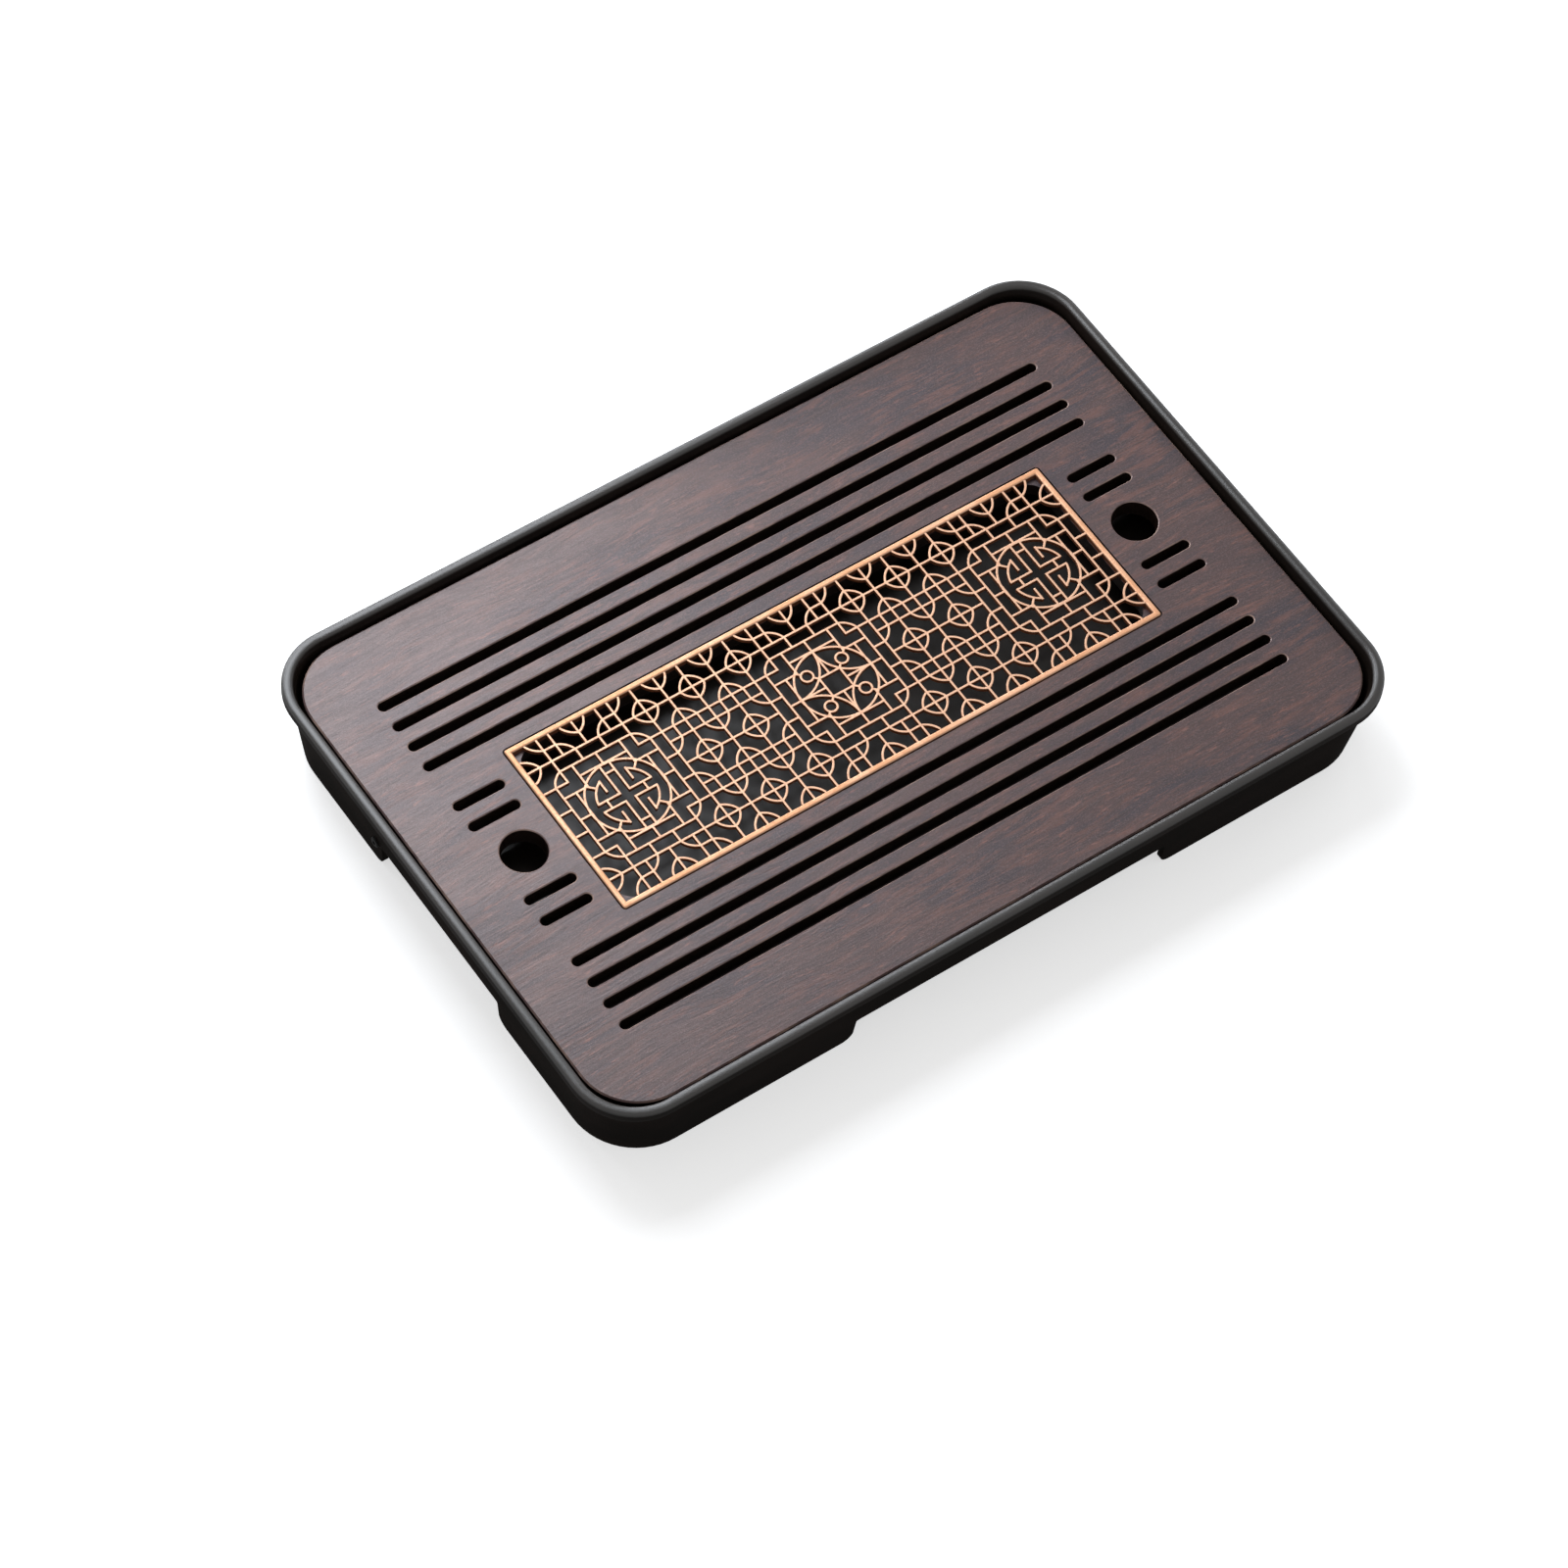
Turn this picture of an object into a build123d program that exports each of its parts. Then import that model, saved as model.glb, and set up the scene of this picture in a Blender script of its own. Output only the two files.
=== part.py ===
from build123d import *
import os
from math import atan2, cos, degrees, radians, sin, sqrt

# Gongfu tea tray: a moulded basin on four corner feet, a slotted bamboo board that lies in
# its rim, a pierced metal grille let into the board and a stopper in the basin's drain hole.
# Millimetres, +Z up. The origin is on the ground under the middle of the tray, +X along it.

# Overall size of the tray
tray_length = 360.0
tray_width = 240.0
tray_height = 37.0
overrun = 5.0

# Rolled rim and leaning wall
rim_height = 5.1
rim_overhang = 2.4
rim_band = 4.0
rim_corner_radius = 26.0
rim_outer_round = 1.4
rim_inner_round = 1.6
wall = 2.4
wall_lean = 3.1
skirt_corner_radius = 23.6
skirt_round = 0.8

# Feet, and the notches between them
notch_height = 13.5
long_notch_length = 140.0
short_notch_length = 78.0
notch_flare = 0.3
notch_top_round = 1.0
foot_round = 5.0

# Basin floor, and the well in it that falls to the drain
floor_thickness = 2.5
floor_round = 2.5
well_depth = 5.0
well_length = 20.0
well_width = 18.0
well_wall = 2.0
well_corner_radius = 3.0

# Drain hole, and the seat around it for the stopper's head
drain_from_notch = 3.7
drain_height = 12.7
drain_radius = 1.6
drain_seat_radius = 2.5
drain_seat_depth = 1.0

# Stopper
plug_fit = 0.05
plug_head_gap = 0.25
plug_head_thickness = 1.9
plug_head_round = 0.6
plug_dimple_radius = 0.9
plug_dimple_depth = 0.4
plug_reach = 2.5
plug_tip_bevel = 0.5

# Lugs on the inner wall that carry the board
lug_height = 9.0
lug_width = 12.0
lug_reach = 7.5
lug_round = 2.0
long_side_lug_place = 110.0
short_side_lug_place = 75.0

# Bamboo board
board_thickness = 8.0
board_gap = 0.4
board_corner_radius = 24.0
board_bevel = 0.6

# Slots and finger holes of the board, placed from its ends and from the grille
slot_width = 4.2
slot_bevel = 0.4
slot_pitch = 10.4
long_slot_from_end = 23.2
long_slot_from_grille = 9.1
long_slot_rows = 4
short_slot_length = 22.0
short_slot_from_end = 23.0
short_slot_first_row = 18.7
short_slot_rows = 2
finger_hole_radius = 9.1
finger_hole_from_end = 34.7

# Grille, its rebate in the board, and the window under it
grille_from_end = 51.8
grille_width = 80.8
grille_thickness = 2.5
grille_proud = 0.4
grille_frame = 2.4
grille_corner_radius = 1.0
grille_edge_round = 0.7
grille_gap = 0.6
rebate_corner_radius = 1.8
ledge_width = 3.2
window_corner_radius = 8.0

# Bars of the lattice, which is drawn on a grid of cells inside the grille's frame
bar_width = 0.85
bar_depth = 1.7
bar_recess = 0.3
grid_columns = 46
grid_rows = 14

# The lattice's pattern. Places in it are in cells from the middle of a motif: a bar is its two
# ends, a ring its middle, and a bow its middle and the angle that it starts from. Each table
# holds the upper right quadrant of its motif. Panels and fields take turns along the grille.
# A bow starts and ends one cell from its middle, and its crown is a little nearer.
panel_places_share = (-18, 0, 18)
field_places_share = (-9, 9)
long_bar_rows_share = (-5, 5)
medallion_share = 3
bow_crown_share = 0.87
panel_bar_shares = (
    ((2, 6), (3, 6)),
    ((0, 4), (3, 4)),
    ((0, 3), (2, 3)),
    ((3, 3), (5, 3)),
    ((2, 2), (4, 2)),
    ((4, 1), (5, 1)),
    ((3, 0), (4, 0)),
    ((0, 7), (0, 5)),
    ((0, 4), (0, 3)),
    ((1, 5), (1, 4)),
    ((2, 7), (2, 5)),
    ((2, 4), (2, 2)),
    ((3, 7), (3, 3)),
    ((3, 2), (3, 0)),
    ((4, 3), (4, 0)),
)
panel_ring_shares = ((0, 7), (5, 5))
panel_bow_shares = (((3, 7), -90), ((2, 5), 90), ((3, 3), 0))
field_bar_shares = (
    ((0, 7), (0, 0)),
    ((2, 7), (2, 0)),
    ((4, 7), (4, 0)),
    ((0, 3), (4, 3)),
    ((0, 2), (4, 2)),
    ((0, 0), (4, 0)),
    ((1, 3), (1, 2)),
    ((3, 3), (3, 2)),
)
field_ring_shares = ((2, 7), (0, 5), (2, 0))
field_bow_shares = (((0, 2), -90), ((2, 3), 0), ((2, 3), 90), ((4, 2), 180))
key_bar_shares = (
    ((0.4, 2.95), (0.4, 0.37)),
    ((0.4, 0.37), (2.15, 0.37)),
    ((1.08, 1.95), (1.08, 1.0)),
    ((1.56, 1.56), (2.1, 2.1)),
    ((0, 2.25), (0.4, 2.25)),
    ((1.5, 0), (1.5, 0.37)),
)
key_bow_share = 2.2
key_bow_start = 9.5
key_bow_size = 51.5
coin_ring_share = 0.45
coin_ring_place_share = 2.1

# Heights and places that follow from these sizes
drain_place = short_notch_length / 2 + notch_flare + drain_from_notch
rim_underside = tray_height - rim_height
rim_width = rim_overhang + wall
floor_top = notch_height + floor_thickness
seat_height = floor_top + lug_height
board_top = seat_height + board_thickness
grille_top = board_top + grille_proud
well_floor = floor_top - well_depth


def lean(height):
    """How far the wall, which leans in towards the ground, stands in from its top."""
    return wall_lean * (1 - height / tray_height)


def section(inset, corner_radius, height):
    """A rounded rectangle that lies inside the tray's outline by the inset."""
    with BuildSketch(Plane.XY.offset(height)) as outline:
        RectangleRounded(tray_length - 2 * inset, tray_width - 2 * inset, corner_radius)
    return outline.sketch


def skirt_section(height):
    """The outer face of the wall at a height. Its corners widen as it leans in."""
    return section(rim_overhang + lean(height), skirt_corner_radius + lean(height), height)


def basin_section(height):
    """The inner face of the wall at a height."""
    return section(rim_width + lean(height), skirt_corner_radius - wall + lean(height), height)


def notch_outline(plane, length):
    """The opening between two feet: square at the top, flared down to the ground."""
    top = length / 2
    below = top + notch_flare * (notch_height + overrun) / notch_height
    with BuildSketch(plane) as opening:
        with BuildLine():
            Polyline(
                (-below, -overrun),
                (-top, notch_height),
                (top, notch_height),
                (below, -overrun),
                close=True,
            )
        make_face()
        fillet(opening.vertices().group_by(Axis.Y)[-1], radius=notch_top_round)
    return opening.sketch


# Lug outline: its front is on the X axis, and its back is sunk in the wall
with BuildSketch() as lug_outline:
    Rectangle(lug_width, lug_reach, align=(Align.CENTER, Align.MIN))
    fillet(lug_outline.vertices().group_by(Axis.Y)[0], radius=lug_round)
long_side_front = tray_width / 2 - rim_width - lug_reach
short_side_front = tray_length / 2 - rim_width - lug_reach
lug_places = []
for place in (-long_side_lug_place, 0, long_side_lug_place):
    lug_places.append(Location((place, long_side_front)))
    lug_places.append(Location((place, -long_side_front), 180))
for place in (-short_side_lug_place, short_side_lug_place):
    lug_places.append(Location((short_side_front, place), -90))
    lug_places.append(Location((-short_side_front, place), 90))

# Places of the drain: the wall's outer face at the hole, the seat's floor and the well's end
drain_face = -(tray_length / 2 - rim_overhang - lean(drain_height))
drain_seat = drain_face + drain_seat_depth
well_end = -(tray_length / 2 - rim_width - lean(well_floor))
well_centre = (well_end + well_length / 2, drain_place - drain_radius + well_width / 2)

# The hollow under the floor, which leaves the well's walls standing
with BuildPart() as underside_hollow:
    loft([basin_section(0), basin_section(notch_height)])
    with BuildSketch(Plane.XY.offset(well_floor - floor_thickness)):
        with Locations(well_centre):
            RectangleRounded(
                well_length + 2 * well_wall,
                well_width + 2 * well_wall,
                well_corner_radius + well_wall,
            )
    extrude(amount=well_depth, mode=Mode.SUBTRACT)

# Moulded basin with its rim, skirt, feet, lugs and drain well
with BuildPart() as tray_body:
    loft([skirt_section(0), skirt_section(rim_underside)])
    with BuildSketch(Plane.XY.offset(rim_underside)):
        RectangleRounded(tray_length, tray_width, rim_corner_radius)
    extrude(amount=rim_height)
    fillet(tray_body.edges().group_by(Axis.Z)[-1], radius=rim_outer_round)
    overhang = tray_body.faces().filter_by(Axis.Z).group_by(Axis.Z)[1][0]
    fillet(overhang.outer_wire().edges(), radius=rim_outer_round)
    overhang = tray_body.faces().filter_by(Axis.Z).group_by(Axis.Z)[1][0]
    fillet(overhang.inner_wires()[0].edges(), radius=skirt_round)

    # The basin above the floor, which widens at the rim, and the hollow under it
    loft([basin_section(floor_top), basin_section(tray_height)], mode=Mode.SUBTRACT)
    rim_opening = section(rim_band, rim_corner_radius - rim_band, tray_height)
    loft([basin_section(rim_underside), rim_opening], mode=Mode.SUBTRACT)
    fillet(tray_body.faces().sort_by(Axis.Z)[-1].inner_wires()[0].edges(), radius=rim_inner_round)
    floor = tray_body.faces().filter_by(Axis.Z).filter_by_position(Axis.Z, floor_top, floor_top)[0]
    fillet(floor.edges(), radius=floor_round)
    add(underside_hollow.part, mode=Mode.SUBTRACT)

    # The notches that leave four corner feet
    extrude(notch_outline(Plane.XZ, long_notch_length), amount=tray_width, both=True, mode=Mode.SUBTRACT)
    extrude(notch_outline(Plane.YZ, short_notch_length), amount=tray_length, both=True, mode=Mode.SUBTRACT)
    foot_ends = tray_body.edges().group_by(Axis.Z)[0].filter_by(lambda edge: edge.length < 2 * wall)
    fillet(foot_ends, radius=foot_round)

    # The lugs that carry the board
    with BuildSketch(Plane.XY.offset(floor_top)):
        with Locations(*lug_places):
            add(lug_outline.sketch)
    extrude(amount=lug_height)

    # The drain well, and the hole from it through the wall
    with BuildSketch(Plane.XY.offset(well_floor)):
        with Locations(well_centre):
            RectangleRounded(well_length, well_width, well_corner_radius)
    extrude(amount=well_depth + floor_round, mode=Mode.SUBTRACT)
    with BuildSketch(Plane.YZ.offset(drain_seat)):
        with Locations((drain_place, drain_height)):
            Circle(drain_seat_radius)
    extrude(amount=-overrun, mode=Mode.SUBTRACT)
    with BuildSketch(Plane.YZ.offset(drain_seat)):
        with Locations((drain_place, drain_height)):
            Circle(drain_radius)
    extrude(amount=overrun, mode=Mode.SUBTRACT)

# Stopper: a head in the seat, with a dimple, and a stem through the wall into the well
with BuildPart() as drain_plug:
    with BuildSketch(Plane.YZ.offset(drain_seat)):
        with Locations((drain_place, drain_height)):
            Circle(drain_seat_radius - plug_head_gap)
    extrude(amount=-plug_head_thickness)
    fillet(drain_plug.edges().group_by(Axis.X)[0], radius=plug_head_round)
    with BuildSketch(Plane.YZ.offset(drain_seat - plug_head_thickness)):
        with Locations((drain_place, drain_height)):
            Circle(plug_dimple_radius)
    extrude(amount=plug_dimple_depth, mode=Mode.SUBTRACT)
    with BuildSketch(Plane.YZ.offset(drain_seat)):
        with Locations((drain_place, drain_height)):
            Circle(drain_radius - plug_fit)
    extrude(amount=well_end + plug_reach - drain_seat)
    chamfer(drain_plug.edges().group_by(Axis.X)[-1], length=plug_tip_bevel)

# Sizes of the board, which lies in the rim with a gap all round, and of what is cut in it
board_inset = rim_width + lean(seat_height) + board_gap
board_end = tray_length / 2 - board_inset
finger_hole_place = board_end - finger_hole_from_end
short_slot_place = board_end - short_slot_from_end - short_slot_length / 2
long_slot_length = 2 * (board_end - long_slot_from_end)
long_slot_first_row = grille_width / 2 + long_slot_from_grille
long_slot_places = []
short_slot_places = []
for side in (-1, 1):
    for row in range(long_slot_rows):
        long_slot_places.append((0, side * (long_slot_first_row + row * slot_pitch)))
    for row in range(short_slot_rows):
        short_slot_row = side * (short_slot_first_row + row * slot_pitch)
        short_slot_places.append((-short_slot_place, short_slot_row))
        short_slot_places.append((short_slot_place, short_slot_row))
grille_length = 2 * (board_end - grille_from_end)
rebate_length = grille_length + 2 * grille_gap
rebate_width = grille_width + 2 * grille_gap
window_length = rebate_length - 2 * ledge_width
window_width = rebate_width - 2 * ledge_width

# Bamboo board
with BuildPart() as bamboo_board:
    extrude(section(board_inset, board_corner_radius, seat_height), amount=board_thickness)
    with BuildSketch(Plane.XY.offset(board_top)):
        with Locations(*long_slot_places):
            SlotOverall(long_slot_length, slot_width)
        with Locations(*short_slot_places):
            SlotOverall(short_slot_length, slot_width)
        with Locations((-finger_hole_place, 0), (finger_hole_place, 0)):
            Circle(finger_hole_radius)
    extrude(amount=-board_thickness, mode=Mode.SUBTRACT)
    chamfer(bamboo_board.faces().sort_by(Axis.Z)[-1].outer_wire().edges(), length=board_bevel)
    mouths = [wire.edges() for wire in bamboo_board.faces().sort_by(Axis.Z)[-1].inner_wires()]
    chamfer(mouths, length=slot_bevel)

    # The rebate that the grille lies in, and the window through its floor
    with BuildSketch(Plane.XY.offset(board_top)):
        RectangleRounded(rebate_length, rebate_width, rebate_corner_radius)
    extrude(amount=grille_proud - grille_thickness, mode=Mode.SUBTRACT)
    with BuildSketch(Plane.XY.offset(board_top)):
        RectangleRounded(window_length, window_width, window_corner_radius)
    extrude(amount=-board_thickness, mode=Mode.SUBTRACT)

# Cells of the lattice, which aren't quite square, though the medallions are round
lattice_length = grille_length - 2 * grille_frame
lattice_width = grille_width - 2 * grille_frame
cell_length = lattice_length / grid_columns
cell_width = lattice_width / grid_rows
cell_radius = (cell_length + cell_width) / 2
medallion_radius = medallion_share * cell_radius


def in_cells(place_share):
    """A place in the lattice that is given in cells."""
    column, row = place_share
    return column * cell_length, row * cell_width


def diagonal(distance):
    """The point at a distance from the middle, half way between the axes."""
    return distance * sqrt(1 / 2), distance * sqrt(1 / 2)


def bar(start, end):
    """A straight bar between two points, run on by half its width at each end."""
    run = Vector(end) - Vector(start)
    with Locations(Location((Vector(start) + Vector(end)) / 2, degrees(atan2(run.Y, run.X)))):
        Rectangle(run.length + bar_width, bar_width)


def ring(radius):
    """A bar of a medallion bent to a whole circle."""
    with BuildSketch() as closed:
        Circle(radius + bar_width / 2)
        Circle(radius - bar_width / 2, mode=Mode.SUBTRACT)
    return closed.sketch


def bow(middle, radius, start_angle, arc_size):
    """A bar of a medallion bent to part of a circle."""
    with BuildSketch() as bent:
        with BuildLine():
            CenterArc(middle, radius, start_angle, arc_size)
        trace(line_width=bar_width)
    return bent.sketch


def flat_bow(middle_share, start_angle):
    """A quarter of a ring one cell across, flatter than a circle's."""
    column, row = middle_share
    stops = []
    for reach_share, turn in ((1, 0), (bow_crown_share, 45), (1, 90)):
        angle = radians(start_angle + turn)
        stops.append(in_cells((column + reach_share * cos(angle), row + reach_share * sin(angle))))
    with BuildSketch() as bent:
        with BuildLine():
            ThreePointArc(*stops)
        trace(line_width=bar_width)
    return bent.sketch


def motif(bar_shares, ring_shares, bow_shares):
    """A motif of the lattice, made whole from its upper right quadrant."""
    with BuildSketch() as whole:
        for start, end in bar_shares:
            bar(in_cells(start), in_cells(end))
        for middle in ring_shares:
            for turn in (0, 90, 180, 270):
                add(flat_bow(middle, turn))
        for middle, turn in bow_shares:
            add(flat_bow(middle, turn))
        mirror(about=Plane.XZ)
        mirror(about=Plane.YZ)
    return whole.sketch


# Medallion with a key fret, for the two end panels
with BuildSketch() as key_medallion:
    for start, end in key_bar_shares:
        bar(Vector(start) * cell_radius, Vector(end) * cell_radius)
    add(bow((0, 0), key_bow_share * cell_radius, key_bow_start, key_bow_size))
    mirror(about=Plane.XZ)
    mirror(about=Plane.YZ)
    add(ring(medallion_radius))

# Medallion with a coin, for the middle panel: four bows that meet on its circle, and a square
# hole whose corners touch them
coin_hole = medallion_radius * (1 - sqrt(1 / 2))
coin_bow = medallion_radius * (sqrt(2) - 1)
coin_ring = coin_ring_share * cell_radius
coin_ring_place = coin_ring_place_share * cell_radius
with BuildSketch() as coin_medallion:
    bar((0, coin_hole), (coin_hole, coin_hole))
    bar((coin_hole, 0), (coin_hole, coin_hole))
    bar((0, coin_hole), (0, medallion_radius))
    bar((coin_hole, 0), (medallion_radius, 0))
    bar(diagonal(coin_bow), diagonal(coin_ring_place - coin_ring))
    bar(diagonal(coin_ring_place + coin_ring), diagonal(medallion_radius))
    add(bow((medallion_radius, medallion_radius), medallion_radius, 180, 90))
    with Locations(diagonal(coin_ring_place)):
        add(ring(coin_ring))
    mirror(about=Plane.XZ)
    mirror(about=Plane.YZ)
    add(ring(medallion_radius))

# The whole lattice, trimmed at the middle of the frame's bars
panel = motif(panel_bar_shares, panel_ring_shares, panel_bow_shares)
field = motif(field_bar_shares, field_ring_shares, field_bow_shares)
with BuildSketch(Plane.XY.offset(grille_top - bar_recess)) as lattice:
    with Locations(*[in_cells((place, 0)) for place in panel_places_share]):
        add(panel)
    with Locations(*[in_cells((place, 0)) for place in field_places_share]):
        add(field)
    with Locations(in_cells((panel_places_share[0], 0)), in_cells((panel_places_share[-1], 0))):
        add(key_medallion.sketch)
    add(coin_medallion.sketch)
    for row in long_bar_rows_share:
        bar((-lattice_length / 2, row * cell_width), (lattice_length / 2, row * cell_width))
    Rectangle(lattice_length + grille_frame, lattice_width + grille_frame, mode=Mode.INTERSECT)

# Grille: its frame, rounded along the top, and the lattice, which lies a little lower
with BuildPart() as grille:
    with BuildSketch(Plane.XY.offset(grille_top)):
        RectangleRounded(grille_length, grille_width, grille_corner_radius)
        Rectangle(lattice_length, lattice_width, mode=Mode.SUBTRACT)
    extrude(amount=-grille_thickness)
    fillet(grille.faces().sort_by(Axis.Z)[-1].edges(), radius=grille_edge_round)
    extrude(lattice.sketch, amount=-bar_depth)

os.makedirs("parts", exist_ok=True)
tray_body.part.label = "tray_body"
export_step(tray_body.part, "parts/tray_body.step")
drain_plug.part.label = "drain_plug"
export_step(drain_plug.part, "parts/drain_plug.step")
bamboo_board.part.label = "bamboo_board"
export_step(bamboo_board.part, "parts/bamboo_board.step")
grille.part.label = "grille"
export_step(grille.part, "parts/grille.step")
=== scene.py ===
from math import cos, radians, sin

import bpy
from mathutils import Matrix, Vector


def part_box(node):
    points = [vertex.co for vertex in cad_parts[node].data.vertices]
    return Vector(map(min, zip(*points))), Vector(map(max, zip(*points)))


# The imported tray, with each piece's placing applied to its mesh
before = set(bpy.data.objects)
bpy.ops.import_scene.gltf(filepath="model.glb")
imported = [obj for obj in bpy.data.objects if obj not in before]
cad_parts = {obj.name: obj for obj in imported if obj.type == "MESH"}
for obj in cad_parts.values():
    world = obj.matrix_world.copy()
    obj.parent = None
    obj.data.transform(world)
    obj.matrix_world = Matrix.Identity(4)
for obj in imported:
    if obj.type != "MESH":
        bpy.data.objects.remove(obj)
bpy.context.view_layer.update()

# Camera, as fitted to the slots, the rim and the feet in the photograph
camera_azimuth = radians(-39.962)
camera_elevation = radians(56.842)
camera_roll = 0.11225
camera_distance = 2.06542
camera_target = Vector((-0.04233, -0.026827, 0.032987))
camera_lens = 128.724
camera_sensor = 36.0
camera_near = 0.05

# Lamps: a window behind the tray and two low strips that the round edges mirror. Each one has
# its place, its size in metres and its watts.
lamp_aim = (-0.06, 0.05, 0.03)
lamp_colour = (0.9, 0.94, 1.0)
lamps = {
    "window": ((0.03, 0.56, 0.76), (0.55, 0.45), 6.2),
    "back_strip": ((0.1, 1.15, 0.34), (1.3, 0.3), 12.0),
    "right_strip": ((1.15, 0.45, 0.5), (0.9, 0.3), 2.4),
}

# Studio: even white light from all round, and a floor that glows up to white for the camera
white = (1.0, 1.0, 1.0, 1.0)
studio_strength = 0.32
backdrop_strength = 1.0
floor_size = 12.0
floor_glow = 0.6

# Noises, each with its waves per metre along X, Y and Z, its detail and its roughness. The
# bamboo's fibres run along X.
wave_noise = ((14, 30, 14), 1.0, 0.5)
patch_noise = ((16, 60, 16), 3.0, 0.6)
flame_noise = ((50, 320, 50), 3.0, 0.65)
fibre_noise = ((60, 800, 200), 4.0, 0.8)
fleck_noise = ((120, 700, 200), 3.0, 0.8)
speckle_noise = ((1300, 1900, 1900), 2.0, 0.7)
wear_noise = ((60, 60, 60), 3.0, 0.7)
plastic_grain_noise = ((2600, 2600, 2600), 2.0, 0.5)
plastic_cloud_noise = ((30, 30, 60), 3.0, 0.5)
copper_grain_noise = ((900, 900, 900), 3.0, 0.6)
copper_cloud_noise = ((70, 70, 70), 3.0, 0.5)
rubber_grain_noise = ((3000, 3000, 3000), 2.0, 0.5)
paper_tooth_noise = ((700, 700, 700), 2.0, 0.5)

# The range that nearly all values of a noise lie in, and the narrower one that clouds use
noise_range = (0.3, 0.7)
cloud_range = (0.35, 0.65)

# Bamboo. Over the bare stain lie layers, each with the values of its noise between which it
# comes up, its tone, and its share where it is full.
wave_reach = (0.0, 0.012, 0.0)
bare_stain = (44, 41, 49)
patch_layer = ((0.4, 0.6), (65, 47, 47), 1.0)
flame_layer = ((0.48, 0.66), (100, 66, 58), 0.7)
fibre_layer = ((0.42, 0.66), (32, 24, 26), 0.75)
fleck_layer = ((0.56, 0.74), (150, 100, 86), 0.5)
speckle_layer = ((0.45, 0.75), (116, 94, 96), 0.4)
# A lighter tone on the bevels: a painted highlight for the light that they catch
bevel_painted_highlight = (104, 84, 82)
wear_layer = ((0.4, 0.68), (172, 144, 130), 0.9)
bamboo_roughness = (0.3, 0.4)
bamboo_specular = 0.5
bamboo_specular_tint = (1.0, 0.83, 0.8, 1.0)
bamboo_lacquer = (0.18, 0.3)
fibre_height = 0.00012

# Where a face of the board counts as a bevel or a cut, by how far it is turned up: 0 is
# upright and 1 is level
bevel_above_sides = (0.45, 0.62)
bevel_below_top = (0.97, 0.82)
# Upright faces such as the slot walls go near black: the darker cut wood, with painted shade for the
# slots' depth
cut_and_shade_layer = ((0.45, 0.2), (24, 14, 9), 1.0)

# Plastic. The gloss of the rim and of the basin's floor grows with how far they are turned up.
plastic_dark = (19, 15, 12)
plastic_light = (27, 21, 18)
plastic_roughness = (0.58, 0.68)
plastic_specular = 0.0
plastic_coat_ior = 1.55
rim_depth = 0.0056
rim_fade = 0.001
rim_turn = (0.0, 0.9)
rim_gloss = (0.08, 1.0)
basin_turn = (0.5, 0.9)
basin_gloss = (0.03, 0.4)
coat_roughness = 0.28
plastic_grain_height = 0.00003
coat_grain_height = 0.00001
rim_softness = 0.0018

# Copper. The lattice lies a little lower than the frame around it.
lattice_depth = 0.0001
lattice_fade = 0.0001
frame_dark = (186, 138, 104)
frame_light = (198, 154, 124)
# The lattice's tops are painted paler and pinker than the frame: a painted highlight
lattice_highlight_tone = (190, 152, 126)
copper_side_turn = (0.55, 0.1)
# The upright sides are painted a darker brown: painted shade
copper_side_shade = (128, 78, 50)
copper_dust_layer = ((0.45, 0.75), (170, 110, 78), 0.3)
copper_metallic = 0.85
copper_side_dulling = -0.5
copper_roughness = (0.42, 0.56)
copper_grain_height = 0.00004
copper_softness = 0.0004

# Rubber
rubber_dark = (9, 8, 8)
rubber_dust_layer = ((0.35, 0.7), (19, 18, 17), 1.0)
rubber_roughness = (0.62, 0.74)
rubber_specular = 0.1
rubber_grain_height = 0.00003

# Paper
paper_dark = (230, 230, 230)
paper_light = (233, 233, 232)
paper_roughness = 0.9
paper_specular = 0.1
paper_tooth_height = 0.00002


def tone(red, green, blue):
    """A colour given as it looks on a screen, from 0 to 255, as the shader wants it."""
    shares = [value / 255 for value in (red, green, blue)]
    linear = [s / 12.92 if s <= 0.04045 else ((s + 0.055) / 1.055) ** 2.4 for s in shares]
    return (*linear, 1.0)


def pale_rays(tree):
    """1 for the rays that show a pale backdrop as such: the camera's, gloss's and glass's."""
    rays = tree.nodes.new("ShaderNodeLightPath")
    pale = rays.outputs["Is Camera Ray"]
    for kind in ("Is Glossy Ray", "Is Transmission Ray"):
        either = tree.nodes.new("ShaderNodeMath")
        either.operation = "MAXIMUM"
        tree.links.new(pale, either.inputs[0])
        tree.links.new(rays.outputs[kind], either.inputs[1])
        pale = either.outputs[0]
    return pale


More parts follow.
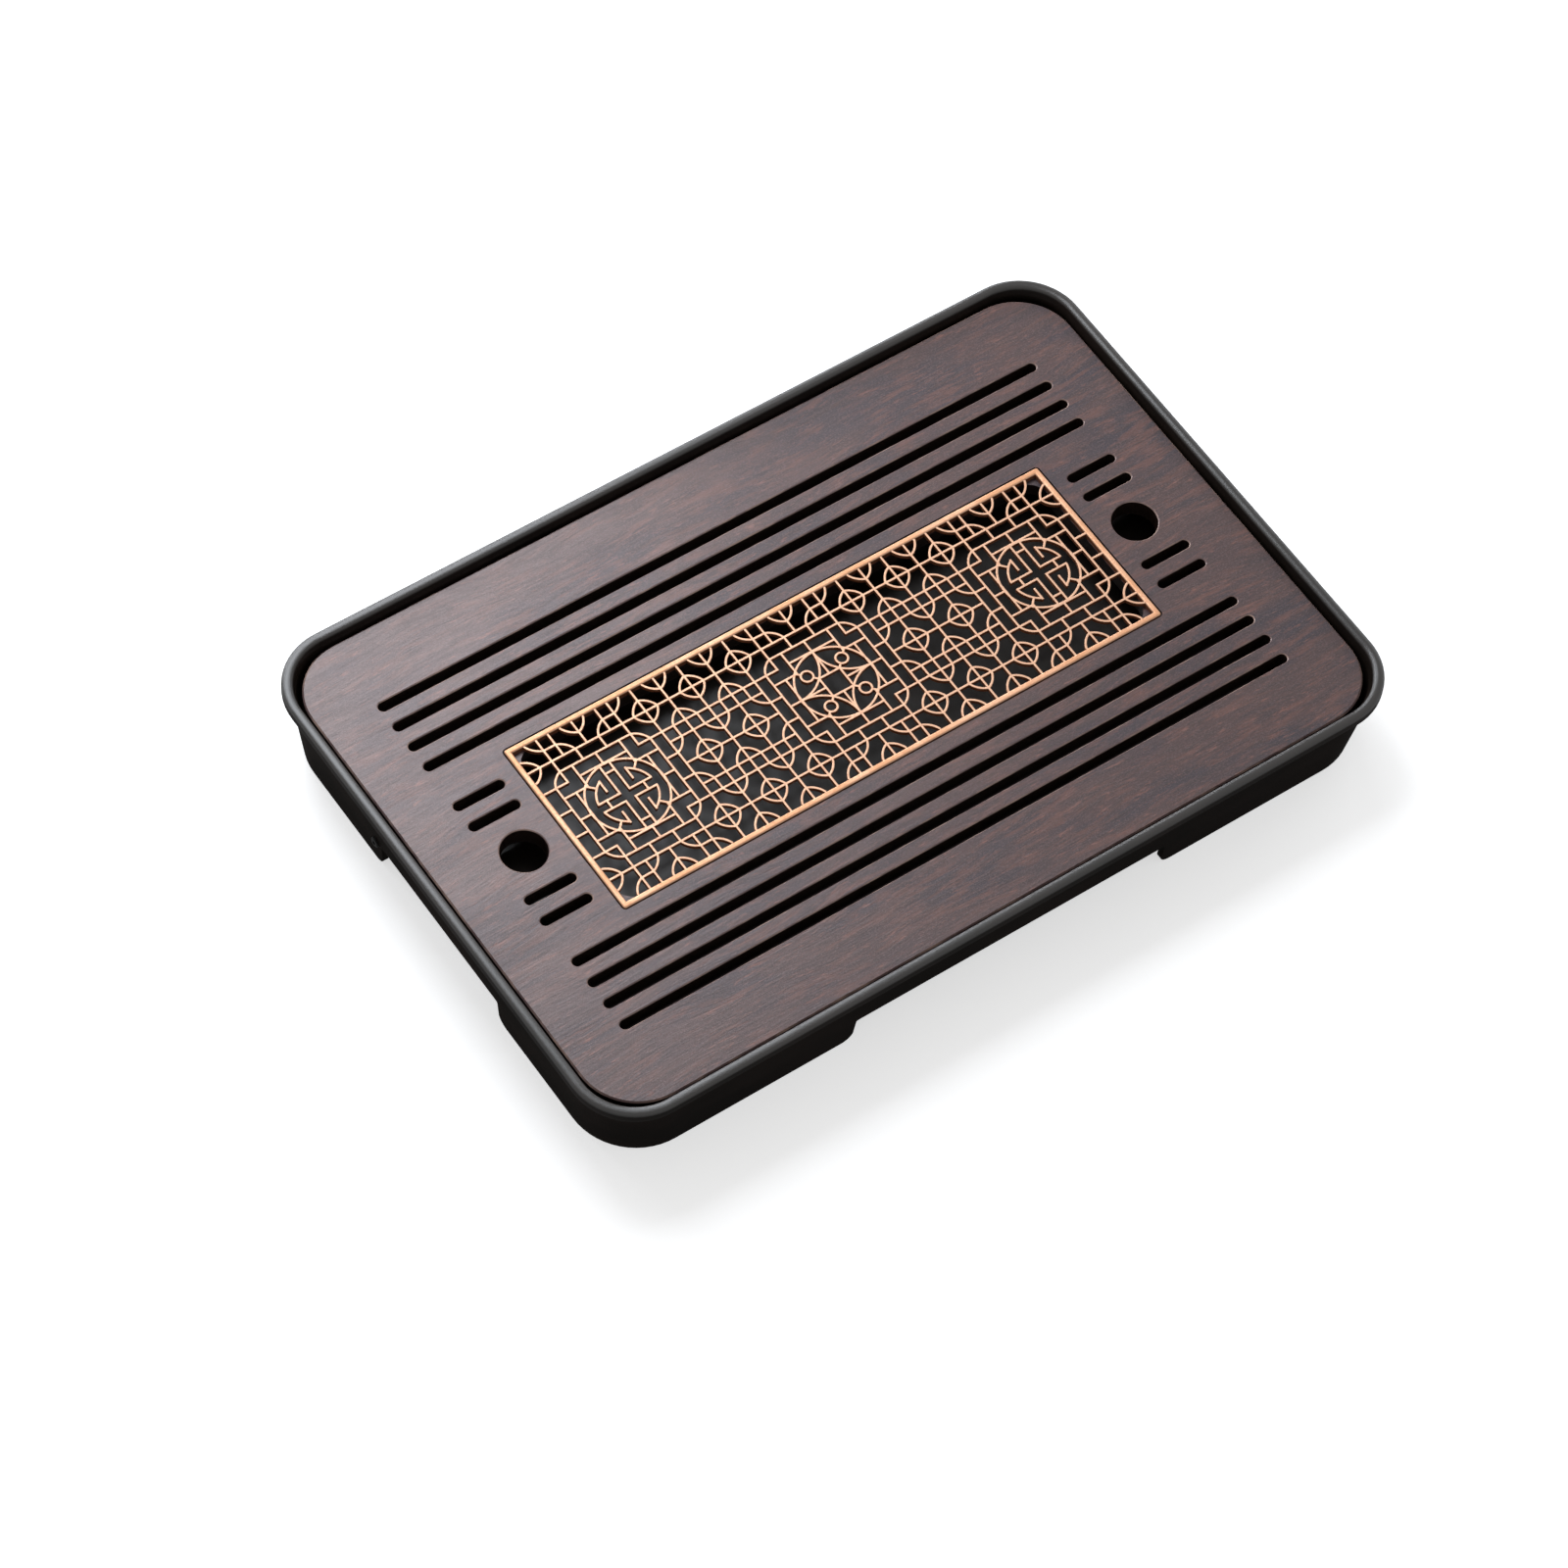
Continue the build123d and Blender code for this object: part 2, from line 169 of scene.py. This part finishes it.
class Finish:
    """A material, with short ways to add the nodes that these finishes are made of."""

    bevel_samples = 4

    def __init__(self, name):
        self.material = bpy.data.materials.new(name)
        self.material.use_nodes = True
        self.tree = self.material.node_tree
        self.shader = self.tree.nodes["Principled BSDF"]
        self.place = self.tree.nodes.new("ShaderNodeTexCoord").outputs["Object"]
        self.normal = self.tree.nodes.new("ShaderNodeNewGeometry").outputs["Normal"]

    def feed(self, value, socket):
        """Links one socket to another, or sets it to a plain value."""
        if isinstance(value, bpy.types.NodeSocket):
            self.tree.links.new(value, socket)
        else:
            socket.default_value = value

    def set(self, name, value):
        """Gives one of the shader's own sockets a value or a link."""
        self.feed(value, self.shader.inputs[name])

    def math(self, operation, *values):
        """One step of arithmetic."""
        node = self.tree.nodes.new("ShaderNodeMath")
        node.operation = operation
        for value, socket in zip(values, node.inputs):
            self.feed(value, socket)
        return node.outputs[0]

    def height_of(self, vector):
        """The Z coordinate of a vector."""
        node = self.tree.nodes.new("ShaderNodeSeparateXYZ")
        self.feed(vector, node.inputs[0])
        return node.outputs["Z"]

    def vector_math(self, operation, *values):
        """One step of arithmetic on vectors."""
        node = self.tree.nodes.new("ShaderNodeVectorMath")
        node.operation = operation
        for value, socket in zip(values, node.inputs):
            self.feed(value, socket)
        return node.outputs[0]

    def moved(self, place, offset, reach):
        """A place pushed aside by an offset that runs from 0 to 1, by up to half of reach."""
        centred = self.vector_math("MULTIPLY_ADD", offset, reach, [-part / 2 for part in reach])
        return self.vector_math("ADD", place, centred)

    def noise(self, kind, place=None, output="Fac"):
        """A noise of the given waves, detail and roughness, as a value or as a colour."""
        waves, detail, rough = kind
        node = self.tree.nodes.new("ShaderNodeTexNoise")
        node.inputs["Scale"].default_value = 1.0
        node.inputs["Detail"].default_value = detail
        node.inputs["Roughness"].default_value = rough
        waved = self.vector_math("MULTIPLY", place or self.place, waves)
        self.feed(waved, node.inputs["Vector"])
        return node.outputs[output]

    def span(self, value, limits, ends=(0.0, 1.0)):
        """A value between two limits as one between two ends, smoothly, and flat beyond them."""
        node = self.tree.nodes.new("ShaderNodeMapRange")
        node.interpolation_type = "SMOOTHSTEP"
        for part, socket in zip((value, *limits, *ends), node.inputs):
            self.feed(part, socket)
        return node.outputs[0]

    def blend(self, share, first, second):
        """The first colour, with a share of the second over it."""
        node = self.tree.nodes.new("ShaderNodeMix")
        node.data_type = "RGBA"
        factor, under, over = (socket for socket in node.inputs if socket.enabled)
        self.feed(share, factor)
        self.feed(first, under)
        self.feed(second, over)
        return next(socket for socket in node.outputs if socket.enabled)

    def layer(self, colour, value, limits, shade, share=1.0):
        """A tone over a colour, from none to a share of it, as a value runs between limits."""
        return self.blend(self.span(value, limits, (0.0, share)), colour, tone(*shade))

    def bump(self, height, distance, normal=None):
        """The surface raised by a height from 0 to 1 times a distance."""
        node = self.tree.nodes.new("ShaderNodeBump")
        node.inputs["Distance"].default_value = distance
        self.feed(height, node.inputs["Height"])
        if normal:
            self.feed(normal, node.inputs["Normal"])
        return node.outputs[0]

    def rounded(self, radius):
        """The surface's direction, with its edges softened to a radius."""
        node = self.tree.nodes.new("ShaderNodeBevel")
        node.samples = self.bevel_samples
        node.inputs["Radius"].default_value = radius
        return node.outputs[0]


def stained_bamboo():
    """Dark stained bamboo: long fibres, red and blue-grey patches, bevels with a painted highlight
    and rubbed wear, near black cuts that are partly painted shade.
    """
    finish = Finish("stained_bamboo")
    # The figure is drawn out along the fibres and bent by a slow wave
    wave = finish.noise(wave_noise, output="Color")
    bent = finish.moved(finish.place, wave, wave_reach)
    patch = finish.noise(patch_noise, bent)
    flame = finish.noise(flame_noise, bent)
    fibre = finish.noise(fibre_noise, bent)
    fleck = finish.noise(fleck_noise, bent)
    speckle = finish.noise(speckle_noise)
    colour = finish.layer(tone(*bare_stain), patch, *patch_layer)
    colour = finish.layer(colour, flame, *flame_layer)
    colour = finish.layer(colour, fibre, *fibre_layer)
    colour = finish.layer(colour, fleck, *fleck_layer)
    colour = finish.layer(colour, speckle, *speckle_layer)
    # The bevels are painted a lighter tone, a painted highlight for the light they catch, and rubbed
    # to a light tan here and there
    up = finish.height_of(finish.normal)
    above, below = finish.span(up, bevel_above_sides), finish.span(up, bevel_below_top)
    bevel_highlight_and_wear = finish.layer(tone(*bevel_painted_highlight), finish.noise(wear_noise), *wear_layer)
    colour = finish.blend(finish.math("MULTIPLY", above, below), colour, bevel_highlight_and_wear)
    # Upright faces such as the slot walls are painted near black: the darker cut wood, with painted
    # shade
    finish.set("Base Color", finish.layer(colour, up, *cut_and_shade_layer))
    finish.set("Roughness", finish.span(fibre, noise_range, bamboo_roughness))
    finish.set("Specular IOR Level", bamboo_specular)
    finish.set("Specular Tint", bamboo_specular_tint)
    finish.set("Coat Weight", finish.span(patch, noise_range, bamboo_lacquer))
    finish.set("Coat Roughness", coat_roughness)
    finish.set("Normal", finish.bump(fibre, fibre_height))
    return finish.material


def black_plastic():
    """Moulded black plastic: matt on the skirt, with a gloss over the rim and the basin's floor."""
    finish = Finish("black_plastic")
    grain = finish.noise(plastic_grain_noise)
    cloud = finish.noise(plastic_cloud_noise)
    up = finish.height_of(finish.normal)
    rim_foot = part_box("tray_body")[1][2] - rim_depth
    on_rim = finish.span(finish.height_of(finish.place), (rim_foot, rim_foot + rim_fade))
    on_rim = finish.math("MULTIPLY", on_rim, finish.span(up, rim_turn, rim_gloss))
    in_basin = finish.span(up, basin_turn, basin_gloss)
    finish.set("Base Color", finish.layer(tone(*plastic_dark), cloud, cloud_range, plastic_light))
    finish.set("Roughness", finish.span(cloud, noise_range, plastic_roughness))
    finish.set("Specular IOR Level", plastic_specular)
    finish.set("Coat Weight", finish.math("MAXIMUM", on_rim, in_basin))
    finish.set("Coat IOR", plastic_coat_ior)
    finish.set("Coat Roughness", coat_roughness)
    finish.set("Normal", finish.bump(grain, plastic_grain_height))
    finish.set("Coat Normal", finish.bump(grain, coat_grain_height, finish.rounded(rim_softness)))
    return finish.material


def aged_copper():
    """Plated copper alloy: an orange frame, a painted highlight on the lattice's tops, sides darkened
    with painted shade and made duller, soft edges.
    """
    finish = Finish("aged_copper")
    grain = finish.noise(copper_grain_noise)
    cloud = finish.noise(copper_cloud_noise)
    lattice_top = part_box("grille")[1][2] - lattice_depth
    lattice_limits = (lattice_top, lattice_top - lattice_fade)
    on_side = finish.span(finish.height_of(finish.normal), copper_side_turn)
    colour = finish.layer(tone(*frame_dark), cloud, cloud_range, frame_light)
    # The lattice's tops get a paler tone: a painted highlight
    colour = finish.layer(colour, finish.height_of(finish.place), lattice_limits, lattice_highlight_tone)
    # Upright sides are painted a darker brown, a painted shade
    colour = finish.blend(on_side, colour, tone(*copper_side_shade))
    finish.set("Base Color", finish.layer(colour, grain, *copper_dust_layer))
    finish.set("Metallic", finish.math("MULTIPLY_ADD", on_side, copper_side_dulling, copper_metallic))
    finish.set("Roughness", finish.span(grain, noise_range, copper_roughness))
    finish.set("Normal", finish.bump(grain, copper_grain_height, finish.rounded(copper_softness)))
    return finish.material


def soft_rubber():
    """Matt black rubber with a dusty grain."""
    finish = Finish("soft_rubber")
    grain = finish.noise(rubber_grain_noise)
    finish.set("Base Color", finish.layer(tone(*rubber_dark), grain, *rubber_dust_layer))
    finish.set("Roughness", finish.span(grain, noise_range, rubber_roughness))
    finish.set("Specular IOR Level", rubber_specular)
    finish.set("Normal", finish.bump(grain, rubber_grain_height))
    return finish.material


def white_paper():
    """The floor: seamless white paper, lit up to white where nothing shades it."""
    finish = Finish("white_paper")
    tooth = finish.noise(paper_tooth_noise)
    finish.set("Base Color", finish.layer(tone(*paper_dark), tooth, noise_range, paper_light))
    finish.set("Roughness", paper_roughness)
    finish.set("Specular IOR Level", paper_specular)
    finish.set("Normal", finish.bump(tooth, paper_tooth_height))
    finish.set("Emission Color", white)
    finish.set("Emission Strength", finish.math("MULTIPLY", pale_rays(finish.tree), floor_glow))
    return finish.material


def dress(node, material):
    """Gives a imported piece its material."""
    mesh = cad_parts[node].data
    mesh.materials.clear()
    mesh.materials.append(material)


def link(obj):
    """Puts an object in the scene."""
    bpy.context.scene.collection.objects.link(obj)
    return obj


def make_camera():
    """The camera looks at its target from its azimuth and elevation, tilted by its roll."""
    level = cos(camera_elevation)
    back = Vector((sin(camera_azimuth) * level, -cos(camera_azimuth) * level, sin(camera_elevation)))
    right = Vector((cos(camera_azimuth), sin(camera_azimuth), 0))
    up = back.cross(right)
    tilted_right = cos(camera_roll) * right + sin(camera_roll) * up
    tilted_up = cos(camera_roll) * up - sin(camera_roll) * right
    turn = Matrix((tilted_right, tilted_up, back)).transposed()
    data = bpy.data.cameras.new("camera")
    data.lens = camera_lens
    data.sensor_width = camera_sensor
    data.clip_start = camera_near
    camera = link(bpy.data.objects.new("camera", data))
    camera.matrix_world = Matrix.Translation(camera_target + camera_distance * back) @ turn.to_4x4()
    bpy.context.scene.camera = camera


def make_lamps():
    """The soft lamps, all turned to the tray."""
    for name, (place, size, watts) in lamps.items():
        data = bpy.data.lights.new(name, "AREA")
        data.shape = "RECTANGLE"
        data.size, data.size_y = size
        data.energy = watts
        data.color = lamp_colour
        lamp = link(bpy.data.objects.new(name, data))
        lamp.location = place
        lamp.rotation_euler = (Vector(lamp_aim) - Vector(place)).to_track_quat("-Z", "Y").to_euler()


def make_studio():
    """Even light from all round, which is seen as white."""
    world = bpy.data.worlds.new("studio")
    world.use_nodes = True
    tree = world.node_tree
    background = tree.nodes["Background"]
    background.inputs["Color"].default_value = white
    strength = tree.nodes.new("ShaderNodeMapRange")
    tree.links.new(pale_rays(tree), strength.inputs["Value"])
    strength.inputs["To Min"].default_value = studio_strength
    strength.inputs["To Max"].default_value = backdrop_strength
    tree.links.new(strength.outputs[0], background.inputs["Strength"])
    bpy.context.scene.world = world


def make_floor():
    """The paper that the tray stands on."""
    bpy.ops.mesh.primitive_plane_add(size=floor_size)
    floor = bpy.context.object
    floor.name = "floor"
    floor.data.materials.append(white_paper())


dress("tray_body", black_plastic())
dress("bamboo_board", stained_bamboo())
dress("grille", aged_copper())
dress("drain_plug", soft_rubber())
make_camera()
make_lamps()
make_studio()
make_floor()
bpy.context.scene.view_settings.view_transform = "Standard"
